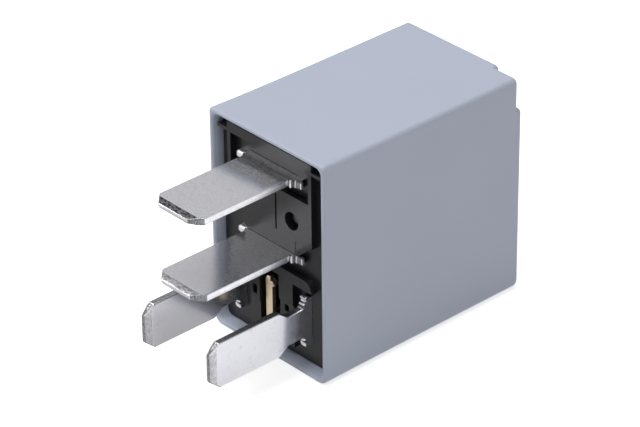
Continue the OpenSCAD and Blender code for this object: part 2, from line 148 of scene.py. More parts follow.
def spread(tree, value, lo, hi, to_lo=0.0, to_hi=1.0):
    """Value mapped from the range lo..hi to to_lo..to_hi and clamped."""
    return add(tree, "ShaderNodeMapRange", None, Value=value, From_Min=lo, From_Max=hi,
               To_Min=to_lo, To_Max=to_hi).outputs[0]


def grain(tree, size_mm, detail=2.0, stretch=(1, 1, 1)):
    """Noise on Object coordinates whose lumps are about size_mm across, stretched along chosen axes."""
    where = add(tree, "ShaderNodeTexCoord").outputs["Object"]
    turned = add(tree, "ShaderNodeMapping", None, Vector=where, Scale=stretch).outputs[0]
    return add(tree, "ShaderNodeTexNoise", None, Vector=turned, Scale=1 / (size_mm * MM),
               Detail=detail).outputs[0]


def relief(tree, shader, height, depth_mm):
    """Raises the surface by a height pattern that is depth_mm deep."""
    bump = add(tree, "ShaderNodeBump", None, Height=height, Strength=1.0, Distance=depth_mm * MM)
    tree.links.new(bump.outputs[0], shader.inputs["Normal"])


def moulded_pbt(name, colour, roughness, sparkle_mm, depth_mm, shine=0.5):
    """Injection-moulded PBT off a spark-eroded mould: an even satin that breaks up the lamps softly."""
    m, t, s = new_material(name)
    fine = grain(t, sparkle_mm, 3.0)
    cloud = grain(t, 9.0, 1.0)
    s.inputs["IOR"].default_value = 1.55
    s.inputs["Specular IOR Level"].default_value = shine
    # A cloud some millimetres across, one and a half per cent darker, is all the moulding varies
    dark = tuple(0.985 * v for v in linear(colour)[:3]) + (1.0,)
    tone = blend_colour(t, spread(t, cloud, 0.35, 0.65), dark, linear(colour))
    t.links.new(tone, s.inputs["Base Color"])
    t.links.new(spread(t, fine, 0.3, 0.7, roughness - 0.05, roughness + 0.05), s.inputs["Roughness"])
    relief(t, s, fine, depth_mm)
    return m


HAZE_ROUGHNESS = 0.62                    # of the finest matt specks in a rolled face
TIN_BRIGHT, TIN_DULL, TIN_ROUGHNESS = "#CFCFD4", "#BDBDC2", 0.17
SCUFF_MATT, SCUFF_BRIGHT = 0.5, 0.22     # roughness between and along the scuffs of a coined tip


def rolled_metal(name, colour, dull, roughness, along="Y", smudge=0.12):
    """Rolled strip: near-mirror in the large, with faint roll lines along it and a few dull smudges."""
    m, t, s = new_material(name)
    s.inputs["Metallic"].default_value = 1.0
    stretch = {"X": (0.04, 1, 1), "Y": (1, 0.04, 1), "Z": (1, 1, 0.04)}[along]
    lines = grain(t, 0.12, 2.0, stretch)
    marked = spread(t, grain(t, 0.7, 4.0), 0.6, 0.8)
    t.links.new(blend_colour(t, marked, linear(colour), linear(dull)), s.inputs["Base Color"])
    gloss = spread(t, marked, 0.0, 1.0, roughness, roughness + smudge)
    # Fine matt specks between the bright ones lay a soft haze over the mirror image
    specks = spread(t, grain(t, 0.03, 1.0), 0.56, 0.6)
    t.links.new(blend_value(t, specks, gloss, HAZE_ROUGHNESS), s.inputs["Roughness"])
    relief(t, s, lines, 0.0012)
    return m


def coined_tin(name, node, scuff_from, scuff_to):
    """Tin-plated bronze, bright like rolled metal, with a scuffed band where the tip was coined thinner.
    The band is the first COIN_L behind the tip, and its scuffs run across the blade."""
    m = rolled_metal(name, TIN_BRIGHT, TIN_DULL, TIN_ROUGHNESS)
    tip_y = float(low_high(node)[0][1])
    t = m.node_tree
    s = next(n for n in t.nodes if n.type == "BSDF_PRINCIPLED")
    where = add(t, "ShaderNodeTexCoord").outputs["Object"]
    y = add(t, "ShaderNodeSeparateXYZ", None, Vector=where).outputs[1]
    band = add(t, "ShaderNodeMath", {"operation": "LESS_THAN"}, in0=y, in1=tip_y + COIN_L).outputs[0]
    scuffs = spread(t, grain(t, 0.2, 3.0, (0.5, 1, 0.5)), 0.42, 0.62)
    colour, gloss = (s.inputs[key].links[0].from_socket for key in ("Base Color", "Roughness"))
    worn = blend_colour(t, scuffs, linear(scuff_from), linear(scuff_to))
    t.links.new(blend_colour(t, band, colour, worn), s.inputs["Base Color"])
    worn_gloss = spread(t, scuffs, 0, 1, SCUFF_MATT, SCUFF_BRIGHT)
    t.links.new(blend_value(t, band, gloss, worn_gloss), s.inputs["Roughness"])
    return m


def sheared_edge(name, dark, light, depth_mm):
    """Edge of a metal strip where it was sheared: bright, dulled by fine strokes across its thickness."""
    m, t, s = new_material(name)
    s.inputs["Metallic"].default_value = 1.0
    strokes = grain(t, 0.1, 3.0, (1, 1, 0.3))
    worn = spread(t, strokes, 0.35, 0.65)
    t.links.new(blend_colour(t, worn, linear(dark), linear(light)), s.inputs["Base Color"])
    t.links.new(spread(t, strokes, 0.3, 0.7, 0.42, 0.3), s.inputs["Roughness"])
    relief(t, s, strokes, depth_mm)
    return m


cover_pbt = moulded_pbt("grey_blue_moulded_pbt", "#BCC3D4", 0.48, 0.09, 0.004)
base_pbt = moulded_pbt("black_moulded_pbt", "#1B1B1E", 0.34, 0.12, 0.004, 0.3)
tin = rolled_metal("tin_plated_rolled_bronze", TIN_BRIGHT, TIN_DULL, TIN_ROUGHNESS)
tin_edge = sheared_edge("tin_plated_sheared_edge", "#D4D4D8", "#E6E6EA", 0.0015)
# Dark torn tin for the coil blades' edges, also laid on the tips' cut corners partly as painted shade
torn_edge_and_painted_shade = sheared_edge("tin_plated_torn_edge", "#606064", "#B4B4B8", 0.006)
# Painted shade: dark tin laid on the ears' sides where the swages shade them
painted_shade_edge = sheared_edge("tin_plated_stained_edge", "#3A3A3E", "#7C7C80", 0.006)
# Bright swaged tin, also laid on the coil blades' upward-facing cut corners as a painted highlight
painted_highlight_and_bright_swage = sheared_edge("bright_swaged_tin", "#D8D8DC", "#F4F4F6", 0.004)
upper_tin = coined_tin("tin_plated_bronze_dark_scuffed_tip", "terminal_30", "#2C2C30", "#85858A")
middle_tin = coined_tin("tin_plated_bronze_light_scuffed_tip", "terminal_87", "#77777C", "#C4C4C8")
coil_tin = coined_tin("tin_plated_bronze_smooth_tip", "terminal_85", "#B2B2B7", "#BEBEC3")
brass = rolled_metal("bare_rolled_brass", "#EAD8BA", "#CDB472", 0.3, "Z")
sheared_brass = sheared_edge("dark_sheared_brass", "#2E261A", "#4A3E2A", 0.004)
spring_bronze = rolled_metal("spring_bronze_strip", "#C9A06E", "#A98350", 0.25, "Z")
iron = rolled_metal("nickel_flashed_soft_iron", "#A9ABAE", "#8C8E92", 0.34, "Y")
silver = rolled_metal("silver_contact_alloy", "#E4E2DC", "#BFBDB6", 0.3, "X")
rivet_steel = rolled_metal("plated_rivet_steel", "#BFC1C5", "#9EA0A4", 0.28, "Z")
bobbin_nylon = moulded_pbt("natural_glass_filled_nylon", "#DED8C8", 0.5, 0.1, 0.005)
copper_enamel = rolled_metal("enamelled_copper_wire", "#C4602E", "#A34A20", 0.28, "X")


# ---- Surfaces ---------------------------------------------------------------

def put(name, verts, faces, material, slot, bevel=0.0, smooth=True, rides=True):
    """Makes a mesh piece from points and faces, welds it, turns its faces outward and rounds its
    sharp edges."""
    mesh = bpy.data.meshes.new(name)
    mesh.from_pydata(verts.reshape(-1, 3).tolist(), [], faces)
    bm = bmesh.new()
    bm.from_mesh(mesh)
    bmesh.ops.remove_doubles(bm, verts=bm.verts, dist=WELD)
    bmesh.ops.dissolve_degenerate(bm, edges=bm.edges, dist=WELD / 2)
    return dress(name, bm, mesh, material, bevel, 2, smooth, rides)


def dress(name, bm, mesh, material, bevel, segments, smooth=True, rides=True):
    """Turns a merged mesh into a finished piece that rides on the relay's body, unless told not to."""
    bmesh.ops.recalc_face_normals(bm, faces=bm.faces)
    bm.to_mesh(mesh)
    bm.free()
    mesh.polygons.foreach_set("use_smooth", np.full(len(mesh.polygons), smooth))
    mesh.materials.append(material)
    piece = bpy.data.objects.new(name, mesh)
    bpy.context.scene.collection.objects.link(piece)
    if bevel:
        b = piece.modifiers.new("edge", "BEVEL")
        b.width, b.segments = bevel * MM, segments
        b.limit_method, b.angle_limit = "ANGLE", np.radians(SHARP)
    w = piece.modifiers.new("flats", "WEIGHTED_NORMAL")
    w.keep_sharp = True
    if rides:
        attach(piece, "relay")
    return piece


def grid_faces(rows, columns):
    """Quads between neighbouring rows of a grid, closed round the columns."""
    r, c = np.meshgrid(np.arange(rows - 1), np.arange(columns), indexing="ij")
    n = (c + 1) % columns
    quads = [r * columns + c, r * columns + n, (r + 1) * columns + n, (r + 1) * columns + c]
    return np.stack(quads, -1).reshape(-1, 4).tolist()


def shell(name, rings, *rest, **more):
    """Closed surface through a stack of rings, each an array of points, with both ends filled."""
    rings = np.asarray(rings)
    rows, columns = rings.shape[:2]
    ends = [list(range(columns))[::-1], list(range((rows - 1) * columns, rows * columns))]
    return put(name, rings, grid_faces(rows, columns) + ends, *rest, **more)


def face_values(mesh, key):
    """A vector of every face, such as its normal or its centre, as rows of an array."""
    values = np.empty(3 * len(mesh.polygons))
    mesh.polygons.foreach_get(key, values)
    return values.reshape(-1, 3)


def cad_copy(node, name, material, bevel, segments=2):
    """A CAD node's mesh with its loose triangles welded into whole flats and its edges rounded."""
    bm = bmesh.new()
    bm.from_mesh(NODES[node].data)
    bmesh.ops.remove_doubles(bm, verts=bm.verts, dist=WELD)
    bmesh.ops.dissolve_limit(bm, angle_limit=np.radians(0.5), verts=bm.verts, edges=bm.edges)
    piece = dress(name, bm, bpy.data.meshes.new(name), material, bevel, segments)
    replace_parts(piece, node)
    return piece


def rounded_loop(corners, radii, steps=8):
    """Closed loop round a polygon, each corner an arc of its radius that is tangent to both its sides."""
    p, r = np.asarray(corners, float), np.asarray(radii, float)[:, None]
    a, b = unit(np.roll(p, 1, 0) - p), unit(np.roll(p, -1, 0) - p)
    half = np.arccos(np.clip((a * b).sum(1, keepdims=True), -1, 1)) / 2
    middle = a + b
    length = np.linalg.norm(middle, axis=1, keepdims=True)
    centre = p + np.where(length > 1e-6, middle / np.maximum(length, 1e-6), 0) * r / np.sin(half)
    start, end = p + a * r / np.tan(half) - centre, p + b * r / np.tan(half) - centre
    turn = np.pi - 2 * half
    t = np.linspace(0, 1, steps + 1)[None, :, None]
    safe = np.sin(np.maximum(turn, 1e-6))[:, None]
    turn = turn[:, None]
    arc = (np.sin((1 - t) * turn) * start[:, None] + np.sin(t * turn) * end[:, None]) / safe
    return (centre[:, None] + arc).reshape(-1, 2)


def folded(points, radius, steps=8):
    """Open path in a plane with each inner corner rounded to a radius."""
    p = np.asarray(points, float)
    out = [p[:1]]
    for before, corner, after in zip(p, p[1:], p[2:]):
        a, b = before - corner, after - corner
        a, b = a / np.linalg.norm(a), b / np.linalg.norm(b)
        half = np.arccos(np.clip(a @ b, -1, 1)) / 2
        centre = corner + (a + b) / np.linalg.norm(a + b) * radius / np.sin(half)
        start, end = (corner + arm * radius / np.tan(half) - centre for arm in (a, b))
        turn = np.pi - 2 * half
        t = np.linspace(0, 1, steps + 1)[:, None]
        out.append(centre + (np.sin((1 - t) * turn) * start + np.sin(t * turn) * end) / np.sin(turn))
    return np.concatenate(out + [p[-1:]])


def in_xz(loop, y):
    """Loop drawn in X and Z, set at depth y."""
    return np.stack([loop[:, 0], np.full(len(loop), y), loop[:, 1]], 1)


def in_yz(path, x=0.0):
    """Path drawn in Y and Z, set at x."""
    return np.stack([np.full(len(path), x), path[:, 0], path[:, 1]], 1)


def unit(rows):
    """Rows of vectors, each made one long."""
    return rows / np.linalg.norm(rows, axis=1, keepdims=True)


# ---- Cover ------------------------------------------------------------------

WALL = 0.8 * MM
RIM_INNER = 0.56 * MM                    # wall where the rim's inner rounding meets the lead-in
RIM_INNER_D = 0.35 * MM                  # depth of that rounding
RIM_ROUND = 0.28 * MM                    # rim's outer rounding
LEAD_IN = 1.1 * MM                       # depth over which the wall thickens
LOWER_R, UPPER_R = 1.0 * MM, 0.5 * MM    # long outer edges
INNER_R = 0.7 * MM                       # long inner edges
END_R = 0.45 * MM                        # round the closed end
SINK = 0.18 * MM                         # how far the top wall draws in behind the stiff rim
DRAFT = 0.08 * MM                        # how far each side wall draws in behind the rim
EASE_D = 5 * MM                          # depth over which both ease in
STEP_W, STEP_H, STEP_D = 3.15 * MM, 3.6 * MM, 0.7 * MM
STEP_CROOK = 0.2 * MM                    # radius in the stepped corner's inner angle
STEP_ROUND = 0.3 * MM                    # round the outside of the stepped corner's face


def cover_ring(y, inset, lower_r, upper_r, stepped, ease=0.0):
    """Outline of the cover at depth y: a rectangle with round corners, inset from the outer face and
    drawn in by the share ease of its sink and draft. One corner is whole or stepped inward, with as
    many points either way, so that rings join."""
    w = COVER_HI[0] - inset - DRAFT * ease
    z0, z1 = COVER_LO[2] + inset, COVER_HI[2] - inset - SINK * ease
    sx, sz = COVER_HI[0] - STEP_W - inset, COVER_HI[2] - STEP_H - inset
    fourth = (sx, sz) if stepped else (w, z1)
    turn, crook = (upper_r, STEP_CROOK) if stepped else (0.0, upper_r)
    corners = [(-w, z0), (w, z0), (w, sz), fourth, (sx, z1), (-w, z1)]
    radii = np.maximum([lower_r, lower_r, turn, crook, turn, upper_r], 0)
    return in_xz(rounded_loop(corners, radii), y)


def outer_ring(y, inset=0.0, stepped=False, ease=0.0):
    """Outline of the cover's outside, whose corners tighten by as much as it is inset."""
    return cover_ring(y, inset, LOWER_R - inset, UPPER_R - inset, stepped, ease)


def make_cover():
    """Open box drawn as rings: inner floor, inner wall, lead-in, rounded rim, outer wall, quarter round
    and end. Behind the rim the top sinks by SINK and the sides draw in by DRAFT, easing in as one minus
    the exponential of minus the depth over EASE_D."""
    end, floor = COVER_HI[1], COVER_HI[1] - WALL
    inner = [(floor, WALL, True), (floor - STEP_D, WALL, True), (floor - STEP_D, WALL, False),
             (RIM_Y + LEAD_IN, WALL, False)]
    for a in np.radians(np.linspace(90, 0, 6)):
        inner.append((RIM_Y + RIM_INNER_D * (1 - np.cos(a)),
                      RIM_ROUND + (RIM_INNER - RIM_ROUND) * np.sin(a), False))
    rings = [cover_ring(y, inset, INNER_R, INNER_R, stepped) for y, inset, stepped in inner]
    for a in np.radians(np.linspace(90, 0, 7))[1:]:
        rings.append(outer_ring(RIM_Y + RIM_ROUND * (1 - np.sin(a)), RIM_ROUND * (1 - np.cos(a))))
    run = end - STEP_D - RIM_Y - RIM_ROUND
    for depth in np.linspace(0, 1, 12)[1:] ** 1.5 * run:
        ease = 1 - np.exp(-depth / EASE_D)
        rings.append(outer_ring(RIM_Y + RIM_ROUND + depth, ease=ease))
    rings.append(outer_ring(end - STEP_D, stepped=True, ease=ease))
    for a in np.radians(np.linspace(0, 90, 8)):
        rings.append(outer_ring(end - END_R * (1 - np.sin(a)), END_R * (1 - np.cos(a)), True, ease))
    piece = shell("moulded_cover", rings, cover_pbt, "cover", bevel=0.08)
    round_step(piece, end - STEP_D)
    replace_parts(piece, "cover")


def round_step(piece, face_y):
    """Rounds the edges that bound the stepped corner's face on the outside, by a bevel of their own."""
    mesh = piece.data
    points, pairs = np.empty(3 * len(mesh.vertices)), np.empty(2 * len(mesh.edges), int)
    mesh.vertices.foreach_get("co", points)
    mesh.edges.foreach_get("vertices", pairs)
    x, y, z = np.moveaxis(points.reshape(-1, 3)[pairs.reshape(-1, 2)], 2, 0)
    near = 0.01 * MM
    side_x, top_z = COVER_HI[0] - DRAFT - near, COVER_HI[2] - SINK - near
    outer = (x > side_x) & (z > COVER_HI[2] - STEP_H - near)
    upper = (z > top_z) & (x > COVER_HI[0] - STEP_W - near)
    corner = (x > side_x - UPPER_R) & (z > top_z - UPPER_R)
    edge = (np.abs(y - face_y) < near).all(1) & ((outer | corner).all(1) | (upper | corner).all(1))
    weight = mesh.attributes.new("bevel_weight_edge", "FLOAT", "EDGE")
    weight.data.foreach_set("value", edge.astype(np.float32))
    b = piece.modifiers.new("step_round", "BEVEL")
    b.width, b.segments, b.limit_method = STEP_ROUND, 4, "WEIGHT"
    piece.modifiers.move(len(piece.modifiers) - 1, 0)


# ---- Sheet metal ------------------------------------------------------------

def sheet_metal(name, path, side, half_w, half_t, chamfer, material, slot, edge=None, **more):
    """Strip of sheet carried along a path: at each station an oblong section with chamfered edges,
    its width along side and its thickness square to both side and path."""
    tangent = np.gradient(path, axis=0)
    # A station that lies on both its neighbours takes the direction of the strip's first step
    tangent[np.linalg.norm(tangent, axis=1) < 1e-9] = path[1] - path[0]
    tangent = unit(tangent)
    normal = np.cross(tangent, side)
    half_w, half_t = np.broadcast_to(half_w, len(path)), np.broadcast_to(half_t, len(path))
    c = np.minimum(np.broadcast_to(chamfer, len(path)), np.minimum(half_w, half_t) * 0.9)
    a = np.stack([half_w - c, half_w, half_w, half_w - c, c - half_w, -half_w, -half_w, c - half_w], 1)
    b = np.stack([half_t, half_t - c, c - half_t, -half_t, -half_t, c - half_t, half_t - c, half_t], 1)
    rings = path[:, None] + a[..., None] * side + b[..., None] * normal[:, None]
    piece = shell(name, rings, material, slot, **more)
    if edge:
        finish_edges(piece.data, path[:, 1].min(), side, tangent[0], edge)
    return piece


def finish_edges(mesh, tip, side, along, edge):
    """Gives a blade's sheared faces their own finishes: its edges; the burrs round the tip's cut corners,
    dark partly as burr and partly as painted shade; the ears' sides, dark as painted shade behind the
    swages; and the coil blades' upper cut corner, bright as a painted highlight because it faces up."""
    for material in (edge, torn_edge_and_painted_shade, painted_shade_edge, painted_highlight_and_bright_swage):
        mesh.materials.append(material)
    normals, depth = face_values(mesh, "normal"), face_values(mesh, "center")[:, 1]
    across = np.abs(normals @ side)
    sheared = (across > 0.75) | (np.abs(normals @ along) > 0.9)
    # The tip's cut corners and their run-out line are painted dark with the torn edge, partly as burr and
    # partly as painted shade
    corners = (depth < tip + CUT_L) & (across > 0.3) & (across <= 0.75)
    run_out = (np.abs(depth - tip - CUT_L + CUT_RUN_OUT / 2) < 0.03 * MM) & sheared
    burr_and_shade = corners | run_out
    # The ears' sides are painted dark as the shade behind the swages
    ear = (depth > RIM_Y - 0.2 * MM) & (depth < RIM_Y + 1.3 * MM) & (across > 0.3)
    # The coil blades' upward-facing cut corners are painted bright as a highlight
    upper_cut_painted_highlight = burr_and_shade & (side[2] > 0.5) & (normals[:, 2] > 0.3)
    index = np.select([ear, upper_cut_painted_highlight, burr_and_shade, sheared], [3, 4, 2, 1], 0)
    mesh.polygons.foreach_set("material_index", index.astype(np.int32))


def blade_stations(tip, rim, width, tip_cut, tail, neck=None):
    """Half width and half thickness of a stamped blade at depths from its tip to its tail."""
    w = width / 2
    rows = [(tip, w - tip_cut, BLADE_T / 2 - COIN_D),
            (tip + COIN_L, w - tip_cut + tip_cut * COIN_L / CUT_L, BLADE_T / 2),
            (tip + CUT_L - CUT_RUN_OUT, w - tip_cut * CUT_RUN_OUT / CUT_L, BLADE_T / 2),
            (tip + CUT_L, w, BLADE_T / 2)]
    if neck:
        rows += [(rim - 3.05 * MM, w, BLADE_T / 2), (rim - 1.95 * MM, neck / 2, BLADE_T / 2)]
        w = neck / 2
    # Seating ears: sloping front edge, then a shoulder that stops on the base
    front, shoulder, back = rim + np.array(EAR_Y)
    rows += [(front, w, BLADE_T / 2), (shoulder, w + EAR_OUT, BLADE_T / 2),
             (back, w + EAR_OUT, BLADE_T / 2), (back, w, BLADE_T / 2)]
    rows += [(y, h, BLADE_T / 2) for y, h in tail]
    return np.array(rows)


def make_blades():
    """The four terminals, as stamped and bent sheet."""
    lo, hi = low_high("terminal_30")
    s = blade_stations(lo[1], RIM_Y, LOAD_W, LOAD_CUT, tail=[
        (BASE_HI[1], LOAD_W / 2), (BASE_HI[1], 2.5 * MM), (hi[1], 2.5 * MM)])
    path = in_yz(np.stack([s[:, 0], np.full(len(s), UPPER_Z)], 1))
    p = sheet_metal("upper_load_blade", path, X, s[:, 1], s[:, 2], BEVEL, upper_tin, "tinned",
                    tin_edge)
    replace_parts(p, "terminal_30")

    # Behind the base the middle blade narrows, drops to the cover's floor and rises to the contact
    lo, hi = low_high("terminal_87")
    half_tail = 2.2 * MM
    s = blade_stations(lo[1], RIM_Y, LOAD_W, LOAD_CUT, tail=[
        (BASE_HI[1], LOAD_W / 2), (BASE_HI[1], half_tail)])
    flat = in_yz(np.stack([s[:, 0], np.full(len(s), MIDDLE_Z)], 1))
    riser, run, back = RIM_Y + 5.3 * MM, lo[2] + BLADE_T / 2, hi[1] - BLADE_T / 2
    fold = in_yz(folded([(BASE_HI[1], MIDDLE_Z), (riser, MIDDLE_Z), (riser, run), (back, run),
                         (back, 5.4 * MM)], 0.7 * MM))[1:]
    path = np.concatenate([flat, fold])
    half_w = np.concatenate([s[:, 1], np.full(len(fold), half_tail)])
    half_t = np.concatenate([s[:, 2], np.full(len(fold), BLADE_T / 2)])
    p = sheet_metal("middle_load_blade", path, X, half_w, half_t, BEVEL, middle_tin, "tinned",
                    tin_edge)
    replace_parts(p, "terminal_87")

    for node, name in (("terminal_85", "right_coil_blade"), ("terminal_86", "left_coil_blade")):
        lo, hi = low_high(node)
        x, _, z = (lo + hi) / 2
        s = blade_stations(lo[1], RIM_Y, COIL_W, COIL_CUT, neck=NECK_W, tail=[(hi[1], NECK_W / 2)])
        path = in_yz(np.stack([s[:, 0], np.full(len(s), z)], 1), x)
        p = sheet_metal(name, path, Z, s[:, 1], s[:, 2], BEVEL, coil_tin, "tinned", torn_edge_and_painted_shade)
        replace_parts(p, node)


# ---- Upset metal ------------------------------------------------------------

def squared(wave):
    """A sine or cosine to the power 0.45 with its sign kept, which squares a ball towards a block."""
    return np.sign(wave) * np.abs(wave) ** 0.45


def lumps(name, rows, material, slot):
    """Small crumpled bumps of upset metal, drawn as one piece with flat facets. Each row holds a centre
    and three half sizes in mm, the centre's Y counted from the rim. Over longitude u and latitude v a
    bump is a superellipsoid whose radius wavers with a product of sines of u and v."""
    rows = np.asarray(rows, float)
    u, v = np.meshgrid(np.linspace(0, 2 * np.pi, 14, endpoint=False),
                       np.linspace(-np.pi / 2, np.pi / 2, 8))
    across = squared(np.cos(v))
    ball = np.stack([across * squared(np.cos(u)), across * squared(np.sin(u)), squared(np.sin(v))], -1)
    phase = np.arange(len(rows))[:, None, None] * 2.4
    waver = 1 + 0.14 * np.sin(3 * u + 4 * v + phase) * np.sin(2 * u - 5 * v + 2 * phase) * np.cos(v)
    points = rows[:, None, None, :3] + rows[:, None, None, 3:] * ball * waver[..., None]
    first = (np.arange(len(rows)) * u.size)[:, None, None]
    faces = (np.asarray(grid_faces(*u.shape))[None] + first).reshape(-1, 4).tolist()
    put(name, points * MM + Y * RIM_Y, faces, material, slot, smooth=False)


def make_lugs():
    """Ridges swaged across the seating ears where each blade was staked into the base."""
    for name, z in (("upper_blade_swages", UPPER_Z / MM), ("middle_blade_swages", MIDDLE_Z / MM)):
        lumps(name, [(3.4, 0.08, z, 0.13, 0.14, 0.38), (3.86, 0.32, z + 0.1, 0.09, 0.14, 0.4),
                     (4.28, 0.58, z - 0.06, 0.18, 0.16, 0.32), (-3.68, 0.42, z + 0.08, 0.54, 0.3, 0.4)],
              painted_highlight_and_bright_swage, "tinned")
    for node, name in (("terminal_85", "right_coil_blade_swages"),
                       ("terminal_86", "left_coil_blade_swages")):
        x, _, z = sum(low_high(node)) / 2 / MM
        lumps(name, [(x, 0.04, z + 1.62, 0.4, 0.14, 0.09), (x, 0.2, z + 2.0, 0.38, 0.15, 0.12),
                     (x + 0.1, 0.32, z + 2.4, 0.3, 0.16, 0.14),
                     (x - 0.05, 0.36, z + 2.62, 0.34, 0.15, 0.1),
                     (x, 0.12, z - 1.8, 0.4, 0.14, 0.12), (x + 0.06, 0.32, z - 2.4, 0.36, 0.18, 0.2)],
              painted_highlight_and_bright_swage, "tinned")


def make_web():
    """Sloping web that fills the corner between the upper raised face's tongue and its edge."""
    outline = in_xz(np.array([(3.45, 12.46), (4.1, 12.6), (5.74, 13.98), (3.45, 13.98)]) * MM, 0)
    rings = [outline + Y * (RIM_Y + depth * MM) for depth in (0.4, 1.12)]
    shell("base_corner_web", rings, base_pbt, "base", bevel=0.04)


def make_strip():
    """Spare contact strip with a nib crumpled by the shear at its end, and a darker brass on its faces
    that point towards -X.
    """
    strip = cad_copy("rest_strip", "spare_contact_strip", brass, 0.03, 1)
    strip.data.materials.append(sheared_brass)
    away = face_values(strip.data, "normal")[:, 0] < -0.5
    strip.data.polygons.foreach_set("material_index", away.astype(np.int32))
    lumps("strip_nib", [(-0.78, 0.86, 7.72, 0.26, 0.14, 0.3), (-0.42, 0.88, 7.38, 0.3, 0.14, 0.22)],
          brass, "brass")


# ---- Spring and winding ------------------------------------------------------

SPRING_W, TONGUE_W, SPRING_T = 7.2 * MM, 3.4 * MM, 0.2 * MM
# Corners of its fold as Y from the rim and Z, in mm
SPRING_PATH = [(13.0, 19.8), (20.3, 19.8), (21.2, 21.4), (22.95, 21.4), (22.95, 19.6)]
SPRING_FOLD_R = 0.45                     # mm
SPRING_END_Z, TONGUE_Z = 2.2, 6.4        # mm, the free end and where the tongue starts
OPEN_DEG = 2.6                           # lean of the armature at rest
WIRE_R, TURNS = 0.14, 37                 # mm, and turns along one layer
COIL_Z, COIL_Y = 11.9, (8.75, 19.15)     # mm, axis and both ends, Y from the rim
SLEEVE_R, TURN_R = 2.95, 4.96            # mm, inside the coil and at its wires' centres
POST_X, POST_Z = 5.32, 6.9               # mm, axis of the post that a lead is wound round
WRAPS, WRAP_R, WRAP_PITCH = 2, 0.572, 0.135
WRAP_Y, WRAP_START = 7.55, 0.5           # mm from the rim, and the first wrap's angle in radians
LEAD_R = 0.13                            # mm, and below the points of the right lead, Y from the rim
LEAD = [(3.4, 9.0, 8.5), (5.3, 9.0, 8.1), (5.7, 8.9, 8.0),
        (5.78, 8.6, 8.0), (5.78, 7.8, 7.9), (5.74, 7.6, 7.7)]


def make_spring():
    """Leaf spring: one strip folded up over the hinge and down the armature, narrowed to a tongue
    at the contact."""
    last_y, last_z = SPRING_PATH[-1]
    end = (last_y + (last_z - SPRING_END_Z) * np.tan(np.radians(OPEN_DEG)), SPRING_END_Z)
    bends = folded(SPRING_PATH + [end], SPRING_FOLD_R)
    t = np.linspace(0, 1, 30)[1:, None]
    path = np.concatenate([bends[:-1], bends[-2] + t * (bends[-1] - bends[-2])])
    tongue = (path[:, 1] < TONGUE_Z) & (path[:, 0] > SPRING_PATH[1][0] - 0.3)
    half_w = np.where(tongue, TONGUE_W, SPRING_W) / 2
    piece = sheet_metal("folded_leaf_spring", in_yz(path) * MM + Y * RIM_Y, X, half_w, SPRING_T / 2,
                        0.03 * MM, spring_bronze, "spring", rides=False)
    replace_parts(piece, "contact_spring")
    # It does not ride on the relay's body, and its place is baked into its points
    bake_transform(piece)


def make_winding():
    """Coil of round wire lying turn by turn: a profile of half circles, one a turn, revolved about the
    core, and a lead from each end wound twice round its post as a helix, drawn as a circle carried
    along the path."""
    first, last = COIL_Y
    u = np.linspace(0, TURNS, TURNS * 6 + 1)
    # Each half circle stops short of its foot, so that the valleys between turns stay open
    bulge = np.sqrt(1 - 0.9 * (2 * (u % 1) - 1) ** 2)
    y = np.concatenate([[first, first], first + u * (last - first) / TURNS, [last, last, first]])
    radius = np.concatenate([[SLEEVE_R, TURN_R], TURN_R + WIRE_R * bulge, [TURN_R, SLEEVE_R, SLEEVE_R]])
    a = np.linspace(0, 2 * np.pi, 72, endpoint=False)
    radius, y = radius[:, None], y[:, None] + 0 * a
    rings = np.stack([radius * np.cos(a), y, COIL_Z + radius * np.sin(a)], -1) * MM + Y * RIM_Y
    piece = put("copper_coil_turns", rings, grid_faces(len(rings), len(a)), copper_enamel, "copper")
    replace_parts(piece, "winding")
    t = np.linspace(0, 2 * WRAPS * np.pi, 24 * WRAPS)
    wraps = np.stack([POST_X + WRAP_R * np.sin(t + WRAP_START), WRAP_Y - WRAP_PITCH * t / (2 * np.pi),
                      POST_Z + WRAP_R * np.cos(t + WRAP_START)], 1)
    v = np.linspace(0, 2 * np.pi, 12, endpoint=False)[:, None]
    for side, name in ((1, "right_coil_lead"), (-1, "left_coil_lead")):
        lead = np.concatenate([LEAD, wraps]) * (side, 1, 1) * MM + Y * RIM_Y
        along = np.gradient(lead, axis=0)
        across = unit(np.cross(along, (1, 1, 1)))
        other = unit(np.cross(along, across))
        rings = lead[:, None] + LEAD_R * MM * (np.cos(v) * across[:, None] + np.sin(v) * other[:, None])
        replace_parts(shell(name, rings, copper_enamel, "copper"), "winding")


make_cover()
make_spring()
make_winding()
cad_copy("base", "moulded_base", base_pbt, 0.07)
make_blades()
make_lugs()
make_web()
make_strip()
for material, *nodes in ((iron, "yoke", "core", "armature"), (bobbin_nylon, "bobbin"),
                         (tin, "coil_pins"), (silver, "moving_contact", "fixed_contact"),
                         (rivet_steel, "terminal_rivets", "spring_rivets", "armature_rivets")):
    for node in nodes:
        NODES[node].data.materials.clear()
        NODES[node].data.materials.append(material)


# ---- Stage, light and camera --------------------------------------------------

WORLD_LIGHT = 0.2        # light from all round on dull surfaces
WORLD_MIRRORED = 0.7     # brightness of the room where metal mirrors it
FLOOR_GLOW = 0.65        # the paper's own light to the eye, which whitens it and keeps its shadow
FLOOR_MIRRORED = 0.62    # the most that metal and gloss mirror of it
FLOOR_HALF = 0.6         # half its width
FLOOR_GAP = 0.02 * MM    # between it and the cover


